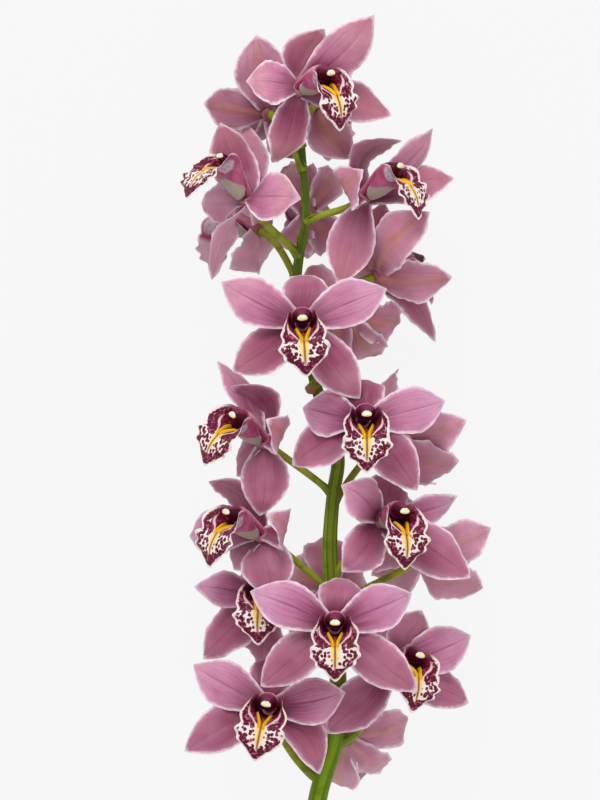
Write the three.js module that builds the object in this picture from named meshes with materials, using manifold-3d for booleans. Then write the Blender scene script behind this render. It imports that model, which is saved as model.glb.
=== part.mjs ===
// Cymbidium orchid stem: one cut flower spike with its blooms, lying on a flat surface.
//
// Millimetres. +Z is up from the surface, +Y runs along the stem to the tip of the spray and
// +X is to the right of it. The bare lower stem arches down to its cut end, the spray lies on
// the tepals of its lowest blooms, and their blades press flat where they meet the surface.
//
// One green solid is the stem with its flower stalks and the stub of a fallen bloom.
// Each bloom is two more: its tepals with the column, and its spotted lip.

import * as THREE from 'three';
import { mergeVertices } from 'three/addons/utils/BufferGeometryUtils.js';
import ManifoldModule from 'manifold-3d';

const wasm = await ManifoldModule();
wasm.setup();

// ---------------------------------------------------------------- driving dimensions

const BLADE = 1;              // thickness of a tepal or lip inside its margin
const SEPAL_WIDTH = 26;
const PETAL_WIDTH = 27;
const BASE_SHARE = 0.42;      // width of a tepal where it leaves the bloom's heart
const TIP_SHARE = 0.1;        // width left at its pointed end
const CUP = -0.1;             // a blade's margins lean back by this share of its half width

const CLAW_START = 2.6;       // a tepal starts this far out, inside the heart

const HEART_RADIUS = 4.5;     // the fleshy centre that the tepals grow from
const HEART_BACK = 2.6;
const HEART_FRONT = 2;
const SEPAL_ROOT = -1.4;      // the sepals grow from the back of the heart, petals before them
const PETAL_ROOT = 0.8;
const SEAT_GAP = 0.3;         // clearance between a bloom and the end of its stalk, or its lip

const COLUMN_RADIUS = 3.8;
const LIP_WIDTH = 29;

const STALK_RADIUS = 2.1;
const BRACT_RADIUS = 3.6;
const CUT_END_Y = -286;

const up = new THREE.Vector3(0, 1, 0);
const point = (xyz) => new THREE.Vector3(...xyz);
const mix = THREE.MathUtils.lerp;
const ease = THREE.MathUtils.smoothstep;
const radians = THREE.MathUtils.degToRad;

// ---------------------------------------------------------------- solids

// A closed solid keeps only its shared corner points.
function closed(geometry) {
  geometry.deleteAttribute('normal');
  geometry.deleteAttribute('uv');
  return mergeVertices(geometry, 1e-5);
}

function toSolid(geometry) {
  return new wasm.Manifold(new wasm.Mesh({
    numProp: 3,
    vertProperties: new Float32Array(geometry.getAttribute('position').array),
    triVerts: new Uint32Array(geometry.index.array),
  }));
}

function fromSolid(solid) {
  const { vertProperties, triVerts } = solid.getMesh();
  const geometry = new THREE.BufferGeometry();
  geometry.setAttribute('position', new THREE.BufferAttribute(vertProperties, 3));
  geometry.setIndex(new THREE.BufferAttribute(triVerts, 1));
  geometry.computeVertexNormals();
  return geometry;
}

const fused = (pieces) => fromSolid(pieces.map(toSolid).reduce((body, piece) => body.add(piece)));

// Flesh that would sink below the surface is pressed flat on it, with a soft bend at the edge.
function pressed(p) {
  const floor = BLADE / 2;
  const bend = 5;
  if (p.z < floor - bend) p.z = floor;
  else if (p.z < floor + bend) p.z = floor + (p.z - floor + bend) ** 2 / (4 * bend);
  return p;
}

// A blade over the sheet that surface(u, v) gives, u from base to tip and v from -1 to 1 across.
// It thins to its margin, which meets the surface below where the blade lies flat on it. Both
// faces are split into triangles along the same diagonals.
function blade(surface, across, stations) {
  const STEP = 1e-3;
  const row = across + 1;
  const last = stations.length - 1;
  const onRim = (i, j) => i === 0 || i === across || j === 0 || j === last;
  const corners = [];
  const upper = [];
  const lower = [];
  stations.forEach((u, j) => {
    for (let i = 0; i <= across; i++) {
      const v = (2 * i) / across - 1;
      const along = surface(u + STEP, v).sub(surface(u - STEP, v));
      const over = surface(u, v + STEP).sub(surface(u, v - STEP));
      const half = along.cross(over).setLength(onRim(i, j) ? 0 : BLADE / 2);
      const middle = surface(u, v);
      if (onRim(i, j)) middle.z -= (BLADE / 2) * (1 - ease(middle.z, BLADE, 5 * BLADE));
      upper.push(corners.length / 3);
      corners.push(...middle.clone().add(half));
      lower.push(onRim(i, j) ? upper.at(-1) : corners.length / 3);
      if (!onRim(i, j)) corners.push(...middle.sub(half));
    }
  });
  const faces = [];
  for (let j = 0; j < last; j++) {
    for (let i = 0; i < across; i++) {
      const [a, b, c, d] = [j * row + i, j * row + i + 1, (j + 1) * row + i + 1, (j + 1) * row + i];
      faces.push(upper[a], upper[d], upper[c], upper[a], upper[c], upper[b]);
      faces.push(lower[a], lower[c], lower[d], lower[a], lower[b], lower[c]);
    }
  }
  const geometry = new THREE.BufferGeometry();
  geometry.setAttribute('position', new THREE.Float32BufferAttribute(corners, 3));
  geometry.setIndex(faces);
  return geometry;
}

// A round rod along a curve, with the radius that thick(t) gives from 0 to 1.
function rod(curve, thick, sides, steps) {
  const geometry = closed(new THREE.CylinderGeometry(1, 1, 1, sides, steps));
  const position = geometry.getAttribute('position');
  const frames = curve.computeFrenetFrames(steps, false);
  for (let i = 0; i < position.count; i++) {
    const step = Math.round((position.getY(i) + 0.5) * steps);
    const radius = thick(step / steps);
    const p = curve.getPointAt(step / steps)
      .addScaledVector(frames.normals[step], position.getZ(i) * radius)
      .addScaledVector(frames.binormals[step], position.getX(i) * radius);
    position.setXYZ(i, p.x, p.y, p.z);
  }
  return geometry;
}

// ---------------------------------------------------------------- the bloom's own frame

// A bloom faces a direction: turned is its heading about the stem's line, 0 up from the surface
// and 90 to the right, raised is its lift towards the spray's tip, and roll leans its head.
function bloomFrame({ at, turned, raised, roll = 0 }) {
  const facing = new THREE.Vector3(
    Math.sin(radians(turned)) * Math.cos(radians(raised)),
    Math.sin(radians(raised)),
    Math.cos(radians(turned)) * Math.cos(radians(raised)),
  );
  const head = up.clone().addScaledVector(facing, -facing.y).normalize();
  head.applyAxisAngle(facing, radians(roll));
  const right = head.clone().cross(facing);
  return { centre: point(at), right, head, facing };
}

const place = (frame, r, h, f) => frame.centre.clone()
  .addScaledVector(frame.right, r)
  .addScaledVector(frame.head, h)
  .addScaledVector(frame.facing, f);

// ---------------------------------------------------------------- tepals

// Half width along a tepal: a short claw, widest past the middle, then a pointed end.
function tepalOutline(u) {
  const widest = 0.5;
  if (u < widest) return mix(BASE_SHARE, 1, Math.sin((Math.PI / 2) * (u / widest)));
  return mix(TIP_SHARE, 1, Math.cos((Math.PI / 2) * ((u - widest) / (1 - widest))) ** 0.75);
}

// A tepal runs from the heart to its tip. It arches by bow towards the side that the bloom
// faces, or away from it where bow is negative, and turn twists it about its own line.
function tepal(frame, root, { tip, bow = 5, turn = 0, width, cup = CUP }, rows) {
  const heartPoint = place(frame, 0, 0, root);
  const outward = tip.clone().sub(heartPoint).projectOnPlane(frame.facing).setLength(CLAW_START);
  const base = heartPoint.add(outward);
  const reach = tip.clone().sub(base);
  const line = reach.clone().normalize();
  const face = frame.facing.clone().addScaledVector(line, -frame.facing.dot(line)).normalize();
  const archTo = face.clone().applyAxisAngle(line, radians(turn));
  const surface = (u, v) => {
    const half = (width / 2) * tepalOutline(THREE.MathUtils.clamp(u, 0, 1));
    const front = face.clone().applyAxisAngle(line, radians(turn) * ease(u, 0, 0.4));
    const side = line.clone().cross(front);
    const p = base.clone().addScaledVector(reach, u)
      .addScaledVector(archTo, bow * 4 * u * (1 - u))
      .addScaledVector(front, cup * half * v * v)
      .addScaledVector(side, half * v);
    return pressed(p);
  };
  return blade(surface, 4, rows);
}

// ---------------------------------------------------------------- column and lip

function column(frame) {
  const path = new THREE.CatmullRomCurve3([
    [0, -1], [2.4, 8], [2.4, 18], [-0.4, 30],
  ].map(([h, f]) => place(frame, 0, h, f)));
  return rod(path, (t) => COLUMN_RADIUS * (t < 0.7 ? 1 + 0.45 * t : 0.75), 6, 3);
}

const heart = (frame) => rod(
  new THREE.LineCurve3(place(frame, 0, 0, -HEART_BACK), place(frame, 0, 0, HEART_FRONT)),
  () => HEART_RADIUS, 6, 1,
);

// The lip: a trough with two raised side lobes that clasp the column, then a broad middle lobe
// that bends down and comes to a point. Its stations are the shares of its length with corners.
function lip(frame, stations) {
  const spine = new THREE.CatmullRomCurve3([
    [-4, HEART_FRONT + SEAT_GAP + 0.45], [-6, 9], [-6.8, 20.5], [-9, 25.5], [-14, 28.8],
    [-20.5, 29], [-27, 26.5], [-32.5, 22.5],
  ].map(([h, f]) => new THREE.Vector3(0, h, f)));
  const halfWidth = (u) => (LIP_WIDTH / 2) * (u < 0.7
    ? mix(mix(0.3, 1.06, ease(u, 0, 0.34)), 0.94, ease(u, 0.36, 0.46))
    : mix(0.94, 0.05, ease(u, 0.7, 1)));
  const surface = (u, v) => {
    const at = spine.getPointAt(THREE.MathUtils.clamp(u, 0, 1));
    const along = spine.getTangentAt(THREE.MathUtils.clamp(u, 0, 1));
    const wrap = u < 0.34 ? mix(1.4, 2.15, ease(u, 0, 0.25)) : mix(2.15, 0.2, ease(u, 0.33, 0.58));
    const half = halfWidth(u);
    const bend = half / wrap;
    const across = bend * Math.sin(wrap * v);
    const lift = bend * (1 - Math.cos(wrap * v));
    const p = place(frame, across, at.y + along.z * lift, at.z - along.y * lift);
    return pressed(p);
  };
  return blade(surface, 4, stations);
}

// ---------------------------------------------------------------- stem

const stemLine = new THREE.CatmullRomCurve3([
  [-22, CUT_END_Y, 6.3], [-20, -250, 15], [-17, -200, 34], [-11, -150, 50], [-2, -118, 56],
  [0, -84, 58], [-4, -26, 58], [-4.5, -6, 58], [-2.5, 20, 58], [0, 39, 58], [-5, 61, 58],
  [-12, 79, 58], [-23, 139, 58], [-22, 151, 58], [-18, 173, 58], [-18, 184, 58], [-20, 207, 58],
  [-21, 222, 59],
].map(point));
const stemRadius = (t) => mix(6.3, 2, t ** 1.2);

function stemAt(y) {
  let low = 0;
  let high = 1;
  for (let i = 0; i < 30; i++) {
    const middle = (low + high) / 2;
    if (stemLine.getPointAt(middle).y < y) low = middle;
    else high = middle;
  }
  return stemLine.getPointAt(low);
}

// A flower stalk leaves the stem at a height, where it flares into its bract, and ends behind
// the bloom's heart.
function stalk(frame, { joins, out = 10, back = 14 }) {
  const root = stemAt(joins);
  const end = place(frame, 0, 0, -HEART_BACK - SEAT_GAP);
  const away = end.clone().sub(root).normalize().add(up.clone().multiplyScalar(0.4)).normalize();
  const path = new THREE.CubicBezierCurve3(
    root, root.clone().addScaledVector(away, out),
    place(frame, 0, 0, -HEART_BACK - back), end,
  );
  return rod(path, (t) => mix(BRACT_RADIUS, STALK_RADIUS, ease(t, 0, 0.4)), 5, 4);
}

// ---------------------------------------------------------------- the blooms, from the tip down

// Each tepal that leans out of its plain place has its tip here, as x, y, z, and may add its
// bow, turn and width. The others spread evenly round the heart.
const blooms = [
  {
    name: 'bloom_01', at: [-22, 246, 78], turned: 38, raised: 16, roll: 9, joins: 214,
    dorsal: [-7, 280, 64, -9], petalL: [-51, 250, 88, 6], petalR: [20, 286, 90, 4],
    sepalL: [-35, 204, 76, 4], sepalR: [30, 232, 58, 5],
  },
  {
    name: 'bloom_02', at: [-39, 234, 50], turned: -150, raised: 25, joins: 200,
    dorsal: [-46, 277, 54, -7, -20, 31], petalL: [-28, 262, 12, -4], petalR: [-75, 240, 42, -4],
    sepalL: [-26, 212, 8, -5], sepalR: [-50, 220, -2, -5],
  },
  {
    name: 'bloom_03', at: [-51, 184, 72], turned: -58, raised: 55, joins: 152,
    dorsal: [-65, 228, 66, -5, 50, 28], petalL: [-52, 229, 46, -9, 20, 24],
    petalR: [-22, 185, 92, 8], sepalL: [-77, 183, 58, 3, -50, 24],
    sepalR: [-72, 140, 74, 4, 50],
  },
  {
    name: 'bloom_04', at: [14.5, 186, 70], turned: 54, raised: 35, joins: 171,
    dorsal: [36, 217, 66, -13, 40, 28], petalL: [17, 201, 98, -12],
    petalR: [55, 224, 48, 3, 40, 22], sepalL: [1, 137, 78, -4, 40, 27],
    sepalR: [65, 197, 42, 4, 0, 27],
  },
  {
    name: 'bloom_05', at: [22, 142, 52], turned: 115, raised: 20, joins: 128,
    dorsal: [26, 183, 50, -3, 45], petalL: [52, 177, 74, -10, 0, 31], petalR: [8, 156, 6, -4],
    sepalL: [64, 142, 60, -6, 0, 28], sepalR: [55, 105, 32, -5, 80],
  },
  {
    name: 'bloom_06', at: [-46, 168, 36], turned: -130, raised: 15, joins: 138,
    dorsal: [-56, 204, 22, -5], petalL: [-41, 180, -8, -5, 0, 18], petalR: [-66, 186, 0, -5],
    sepalL: [-44, 152, -6, -5], sepalR: [-61, 146, 44, -4],
  },
  {
    name: 'bloom_07', at: [-17, 178, 32], turned: 180, raised: 15, joins: 160,
    dorsal: [-24, 204, -6, -6], petalL: [-2, 202, 6, -7, 0, 20], petalR: [-29, 203, -8, -7, 0, 22],
    sepalL: [3, 164, -6, -7], sepalR: [-26, 158, -6, -7, 0, 22],
  },
  {
    name: 'bloom_08', at: [-20, 114, 90], turned: 0, raised: 8, roll: 4, joins: 94,
    dorsal: [-20, 143, 74, 9], petalL: [-65, 138, 88], petalR: [27, 134, 88],
    sepalL: [-59, 88, 82], sepalR: [12, 73, 86],
  },
  {
    name: 'bloom_09', at: [4, 122, 36], turned: 170, raised: 15, joins: 104,
    dorsal: [-16, 147, 16, -7], petalL: [34, 118, 12, -7], petalR: [-30, 122, -40, -7],
    sepalL: [22, 99, -6, -7], sepalR: [-6, 92, -8, -7],
  },
  {
    name: 'bloom_10', at: [-41.5, 49.5, 72], turned: -41, raised: 30, roll: -26, joins: 18,
    dorsal: [-60, 80, 68, -12, -50, 27], petalL: [-67, 95, 48, 4, 60, 22],
    petalR: [-42, 62, 104, -13], sepalL: [-58, 32, 50, 4], sepalR: [-43, 8, 78, 4, -50, 28],
  },
  {
    name: 'bloom_11', at: [13.5, 60, 88], turned: 4, raised: 10, joins: 44,
    dorsal: [14, 84, 64, 8], petalL: [-20, 68, 82], petalR: [60, 72, 76],
    sepalL: [-26, 36, 82], sepalR: [44, 22, 84],
  },
  {
    name: 'bloom_12', at: [30, 50, 48], turned: 115, raised: 22, joins: 12,
    dorsal: [34, 90, 40, -3], petalL: [72, 61, 62, -6], petalR: [14, 54, -4, -4],
    sepalL: [68, 38, 56, -5], sepalR: [56, 25, 22, -4],
  },
  {
    name: 'bloom_13', at: [-43, -3, 70], turned: -46, raised: 27, roll: -10, joins: -38,
    dorsal: [-73, 26, 66, -8, -40, 26], petalL: [-85, -4, 44, 6, -20],
    petalR: [-41, 9, 98, -12, 0, 24], sepalL: [-60, -22, 58, 4],
    sepalR: [-36, -38, 84, 4, -40, 30],
  },
  {
    name: 'bloom_14', at: [24, 5, 76], turned: 26, raised: 12, joins: -30,
    dorsal: [26, 30, 54, 6], petalL: [3, 25, 90], petalR: [68, 17, 64, 4, 40, 20],
    sepalL: [3, -23, 88], sepalR: [74, -27, 70, 5, 0, 31],
  },
  {
    name: 'bloom_15', at: [46, -16, 42], turned: 150, raised: 30, joins: -44,
    dorsal: [38, 20, 34, -4], petalL: [86, 1, 44, -5], petalR: [8, -6, 30, -4],
    sepalL: [82, -32, 34, -5, 0, 32], sepalR: [28, -34, -4, -5],
  },
  {
    name: 'bloom_16', at: [-38, -40, 52], turned: -12, raised: 17, joins: -84,
    dorsal: [-44, -14, 24, 5], petalL: [-81, -32, 48], petalR: [-15, -44, 74, 4, 0, 20],
    sepalL: [-76, -73, 50], sepalR: [-42, -80, 24],
  },
  {
    name: 'bloom_17', at: [-2, -54, 98], turned: 0, raised: 8, joins: -80,
    dorsal: [2, -27, 80, 9], petalL: [-49, -34, 94], petalR: [41, -35, 94],
    sepalL: [-43, -87, 90], sepalR: [44, -89, 98],
  },
  {
    name: 'bloom_18', at: [-38.5, -100, 72], turned: -3, raised: 8, roll: -12, joins: -142,
    dorsal: [-38, -72, 50, 8], petalL: [-81, -76, 64], petalR: [4, -91, 74],
    sepalL: [-86, -124, 68], sepalR: [-10, -137, 70],
  },
  {
    name: 'bloom_19', at: [30, -77, 62], turned: 33, raised: 15, roll: -12, joins: -122,
    dorsal: [48, -46, 52], petalL: [10, -54, 52], petalR: [75, -60, 46],
    sepalL: [-7, -114, 67, 4, 0, 28], sepalR: [74, -98, 44],
  },
  {
    name: 'bloom_20', at: [5, -118, 36], turned: 170, raised: 10, joins: -136,
    dorsal: [14, -92, 4, -7], petalL: [40, -108, 6, -7, 0, 22], petalR: [-28, -114, -6, -7],
    sepalL: [28, -134, 6, -7, 0, 20], sepalR: [3, -147, -6, -7],
  },
  {
    name: 'bloom_21', at: [-4, -34, 34], turned: 180, raised: 10, joins: -54,
    dorsal: [-8, -6, 12, -7], petalL: [12, -24, -8, -7], petalR: [-24, -20, 2, -7, 0, 22],
    sepalL: [14, -62, -6, -7], sepalR: [-20, -66, -6, -7],
  },
  {
    name: 'bloom_22', at: [-12, 238, 42], turned: 165, raised: 5, joins: 218,
    dorsal: [-12, 262, 8, -7], petalL: [4, 262, 14, -7, 0, 22], petalR: [-19, 246, 0, -5, 0, 16],
    sepalL: [8, 208, 46, -7, 0, 26], sepalR: [-21, 224, -4, -5, 0, 16],
  },
];

// Where each tepal's tip lies when nothing presses on it, in the bloom's own frame.
const tepalParts = [
  { part: 'dorsal', width: SEPAL_WIDTH, root: SEPAL_ROOT, rest: [0, 46, -4] },
  { part: 'petalL', width: PETAL_WIDTH, root: PETAL_ROOT, rest: [-45, 17, 2] },
  { part: 'petalR', width: PETAL_WIDTH, root: PETAL_ROOT, rest: [45, 17, 2] },
  { part: 'sepalL', width: SEPAL_WIDTH, root: SEPAL_ROOT, rest: [-38, -30, -3] },
  { part: 'sepalR', width: SEPAL_WIDTH, root: SEPAL_ROOT, rest: [38, -30, -3] },
];

function tepals(frame, bloom, rows) {
  return tepalParts.map(({ part, width: plainWidth, root, rest }) => {
    const [x, y, z, bow, turn, width = plainWidth] = bloom[part] ?? [];
    const tip = x === undefined ? place(frame, ...rest) : point([x, y, z]);
    return tepal(frame, root, { tip, bow, turn, width }, rows);
  });
}

// ---------------------------------------------------------------- colours and assembly

const tepalPink = new THREE.MeshStandardMaterial({ color: 0xb86a8e, roughness: 0.55, metalness: 0 });
const lipSpotted = new THREE.MeshStandardMaterial({ color: 0x7a1c3c, roughness: 0.5, metalness: 0 });
const stemGreen = new THREE.MeshStandardMaterial({ color: 0x5d8a2c, roughness: 0.5, metalness: 0 });

const spray = new THREE.Group();

function add(name, geometry, material) {
  const mesh = new THREE.Mesh(geometry, material);
  mesh.name = name;
  spray.add(mesh);
}

// The stub where one bloom has fallen.
const stub = rod(
  new THREE.CatmullRomCurve3([[-10, 83, 58], [-13.5, 80.5, 63], [-17, 76.5, 65]].map(point)),
  (t) => mix(2.6, 2.9, t), 6, 2,
);

const stemPieces = [rod(stemLine, stemRadius, 8, 24), stub];

// The blooms on top of the spray have their blades in finer rows than those below them.
const TOP_LEVEL = 60;

for (const bloom of blooms) {
  const frame = bloomFrame(bloom);
  const onTop = bloom.at[2] > TOP_LEVEL;
  const rows = onTop ? [0, 0.3, 0.58, 0.82, 1] : [0, 0.36, 0.74, 1];
  const lipRows = onTop ? [0, 0.15, 0.33, 0.46, 0.6, 0.8, 1] : [0, 0.3, 0.46, 0.78, 1];
  const flesh = [heart(frame), column(frame), ...tepals(frame, bloom, rows)];
  stemPieces.push(stalk(frame, bloom));
  add(`${bloom.name}_tepals`, fused(flesh), tepalPink);
  add(`${bloom.name}_lip`, lip(frame, lipRows), lipSpotted);
}
add('stem', fused(stemPieces), stemGreen);

export default spray;
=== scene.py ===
import math
import random

import bmesh
import bpy
from mathutils import Matrix, Vector


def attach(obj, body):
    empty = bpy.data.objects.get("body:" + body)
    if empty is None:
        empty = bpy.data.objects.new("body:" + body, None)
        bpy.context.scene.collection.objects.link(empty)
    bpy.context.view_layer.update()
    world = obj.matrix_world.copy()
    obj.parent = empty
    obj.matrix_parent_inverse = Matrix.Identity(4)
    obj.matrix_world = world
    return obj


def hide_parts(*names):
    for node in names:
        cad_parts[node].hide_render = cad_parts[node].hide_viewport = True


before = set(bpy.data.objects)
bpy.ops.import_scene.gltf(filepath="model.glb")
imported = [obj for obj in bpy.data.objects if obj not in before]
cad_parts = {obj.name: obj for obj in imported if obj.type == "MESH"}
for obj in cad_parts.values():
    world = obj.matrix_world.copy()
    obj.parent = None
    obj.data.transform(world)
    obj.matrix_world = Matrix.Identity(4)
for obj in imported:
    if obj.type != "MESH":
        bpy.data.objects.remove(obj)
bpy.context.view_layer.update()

# ---------------------------------------------------------------- surface, light and camera
# A white studio table, lit softly from all round, with the key light beyond the tip of the
# spray. The camera hangs straight above it on a long lens.

TABLE_REACH = 6               # metres from the table's middle to each side
TABLE_DROP = 0.0002           # and this far below the tepals that are pressed on it
SPRAY_MIDDLE = Vector((0, 0.05, 0.05))
CAMERA_HEIGHT = 4.06
CAMERA_AIM = Vector((-0.0213, 0.0722, 0.062))
VIEW_HEIGHT = 0.448           # of the spray, from the lower to the upper edge of the view
SENSOR = 36                   # millimetres, along the view's height

studio = bpy.context.scene
studio.view_settings.view_transform = "Standard"

table_mesh = bpy.data.meshes.new("table_top")
table_shape = bmesh.new()
bmesh.ops.create_grid(table_shape, x_segments=1, y_segments=1, size=TABLE_REACH)
bmesh.ops.translate(table_shape, verts=table_shape.verts, vec=(0, 0, -TABLE_DROP))
table_shape.to_mesh(table_mesh)
table_top = bpy.data.objects.new("table_top", table_mesh)
studio.collection.objects.link(table_top)

white = bpy.data.materials.new("white_table")
white.use_nodes = True
white_shader = white.node_tree.nodes["Principled BSDF"]
white_shader.inputs["Base Color"].default_value = (0.03, 0.03, 0.03, 1)
white_shader.inputs["Roughness"].default_value = 0.9
white_shader.inputs["Specular IOR Level"].default_value = 0
white_shader.inputs["Emission Color"].default_value = (1, 1, 1, 1)
white_shader.inputs["Emission Strength"].default_value = 0.895
table_mesh.materials.append(white)

room = bpy.data.worlds.new("room")
room.use_nodes = True
room.node_tree.nodes["Background"].inputs["Color"].default_value = (1, 1, 1, 1)
room.node_tree.nodes["Background"].inputs["Strength"].default_value = 0.66
studio.world = room


def softbox(name, place, size, watts):
    """A round soft lamp that is aimed at the middle of the spray."""
    light = bpy.data.lights.new(name, "AREA")
    light.shape = "DISK"
    light.size = size
    light.energy = watts
    lamp = bpy.data.objects.new(name, light)
    lamp.location = place
    lamp.rotation_euler = (SPRAY_MIDDLE - Vector(place)).to_track_quat("-Z", "Y").to_euler()
    studio.collection.objects.link(lamp)


softbox("key_light", (-0.3, 1.35, 1.3), size=0.8, watts=19)
softbox("fill_light", (0.5, -0.5, 1.9), size=1.4, watts=8)

camera_lens = bpy.data.cameras.new("camera")
camera_lens.sensor_width = SENSOR
camera_lens.lens = SENSOR * (CAMERA_HEIGHT - CAMERA_AIM.z) / VIEW_HEIGHT
camera_lens.clip_end = 20
camera = bpy.data.objects.new("camera", camera_lens)
camera.location = (CAMERA_AIM.x, CAMERA_AIM.y, CAMERA_HEIGHT)
studio.collection.objects.link(camera)
studio.camera = camera

# ---------------------------------------------------------------- stem
# The fleshy green stem, thick at its cut end and thin at the tip, waxy and finely streaked.
# It is one rod on a smooth curve through the points that the spray climbs through.

MM = 0.001                    # the shapes are worked out in millimetres
STEM_POINTS = [
    (-22, -286, 6.3), (-20, -250, 15), (-17, -200, 34), (-11, -150, 50), (-2, -118, 56),
    (0, -84, 58), (-4, -26, 58), (-4.5, -6, 58), (-2.5, 20, 58), (0, 39, 58), (-5, 61, 58),
    (-12, 79, 58), (-23, 139, 58), (-22, 151, 58), (-18, 173, 58), (-18, 184, 58),
    (-20, 207, 58), (-21, 222, 59),
]
STEM_RADIUS = 6.3             # at the cut end
STEM_TIP_RADIUS = 2
CURVE_STEPS = 40              # between two points of a curve
LOOK_AHEAD = 0.004            # share of a line over which its direction is taken
SEAM = 1e-4                   # vertices nearer than this are one


def through(points, samples=400):
    """Evenly spaced places on a smooth curve through the points."""
    knots = [Vector(point) for point in points]
    knots = [2 * knots[0] - knots[1], *knots, 2 * knots[-1] - knots[-2]]
    fine = []
    for a, b, c, d in zip(knots, knots[1:], knots[2:], knots[3:]):
        ab, bc, cd = ((end - start).length ** 0.5 for start, end in ((a, b), (b, c), (c, d)))
        leave = ((b - a) / ab - (c - a) / (ab + bc) + (c - b) / bc) * bc
        arrive = ((c - b) / bc - (d - b) / (bc + cd) + (d - c) / cd) * bc
        for i in range(CURVE_STEPS):
            w = i / CURVE_STEPS
            fine.append(b + leave * w + (3 * (c - b) - 2 * leave - arrive) * w**2
                        + (2 * (b - c) + leave + arrive) * w**3)
    fine.append(knots[-2])
    reach = [0.0]
    for a, b in zip(fine, fine[1:]):
        reach.append(reach[-1] + (b - a).length)
    even = []
    j = 0
    for i in range(samples + 1):
        want = reach[-1] * i / samples
        while j < len(fine) - 2 and reach[j + 1] < want:
            j += 1
        share = (want - reach[j]) / max(reach[j + 1] - reach[j], 1e-9)
        even.append(fine[j].lerp(fine[j + 1], min(max(share, 0), 1)))
    return even


def at(line, t):
    """The place on the line at t, from 0 at its start to 1 at its end."""
    t = min(max(t, 0), 1) * (len(line) - 1)
    i = min(int(t), len(line) - 2)
    return line[i].lerp(line[i + 1], t - i)


def mix(a, b, t):
    """From a at 0 to b at 1."""
    return a + (b - a) * t


def ease(x, low, high):
    """From 0 where x is low to 1 where it is high, starting and ending softly."""
    t = min(max((x - low) / (high - low), 0), 1)
    return t * t * (3 - 2 * t)


def layer_of(shape, name):
    """The layer of that name, which holds one number for each vertex of the shape."""
    layers = shape.verts.layers.float
    return layers.get(name) or layers.new(name)


def marked(mark, *place):
    """A mark is one number all over, or is worked out from its place on the shape."""
    return mark(*place) if callable(mark) else mark


def rod(shape, line, radius, sides, rings, flat=1, lead=Vector((0, 0, 1)), **marks):
    """A rod along the line: a grid is wrapped round it, its seam merged and its ends closed.

    The turn round it is counted from its lead side, the one that the lead points to. Where
    flat is under 1 it is that much thinner from there to the opposite side. Its marks are the
    numbers that its material reads.
    """
    layers = {name: layer_of(shape, name) for name in marks}
    sheet = bmesh.ops.create_grid(shape, x_segments=sides, y_segments=rings, size=1)["verts"]
    for vert in sheet:
        turn = (vert.co.x + 1) * math.pi
        t = (vert.co.y + 1) / 2
        ahead = (at(line, t + LOOK_AHEAD) - at(line, t - LOOK_AHEAD)).normalized()
        over = (lead - ahead * lead.dot(ahead)).normalized()
        aside = ahead.cross(over)
        for name, mark in marks.items():
            vert[layers[name]] = marked(mark, t, turn)
        r = radius(t)
        vert.co = at(line, t) + over * (math.cos(turn) * r * flat) - aside * (math.sin(turn) * r)
    bmesh.ops.remove_doubles(shape, verts=sheet, dist=SEAM)
    sheet = [vert for vert in sheet if vert.is_valid]
    open_edges = {edge for vert in sheet for edge in vert.link_edges if edge.is_boundary}
    bmesh.ops.holes_fill(shape, edges=list(open_edges), sides=0)
    faces = {face for vert in sheet for face in vert.link_faces}
    bmesh.ops.recalc_face_normals(shape, faces=list(faces))


def upper_side(t, turn):
    """A mark that is 1 along the rod's lead side and 0 along the opposite one."""
    return abs(turn - math.pi) / math.pi


def into_piece(shape, name, *materials):
    """The finished shape as a smooth piece of the part, in metres."""
    bmesh.ops.scale(shape, verts=shape.verts, vec=(MM, MM, MM))
    mesh = bpy.data.meshes.new(name)
    shape.to_mesh(mesh)
    shape.free()
    for material in materials:
        mesh.materials.append(material)
    mesh.polygons.foreach_set("use_smooth", [True] * len(mesh.polygons))
    piece = bpy.data.objects.new(name, mesh)
    studio.collection.objects.link(piece)
    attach(piece, "root")
    return piece


def linear(*colour):
    """A paint colour from its red, green and blue, each 0 to 255."""
    shares = (c / 255 for c in colour)
    return (*(((s + 0.055) / 1.055) ** 2.4 if s > 0.04 else s / 12.92 for s in shares), 1)


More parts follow.
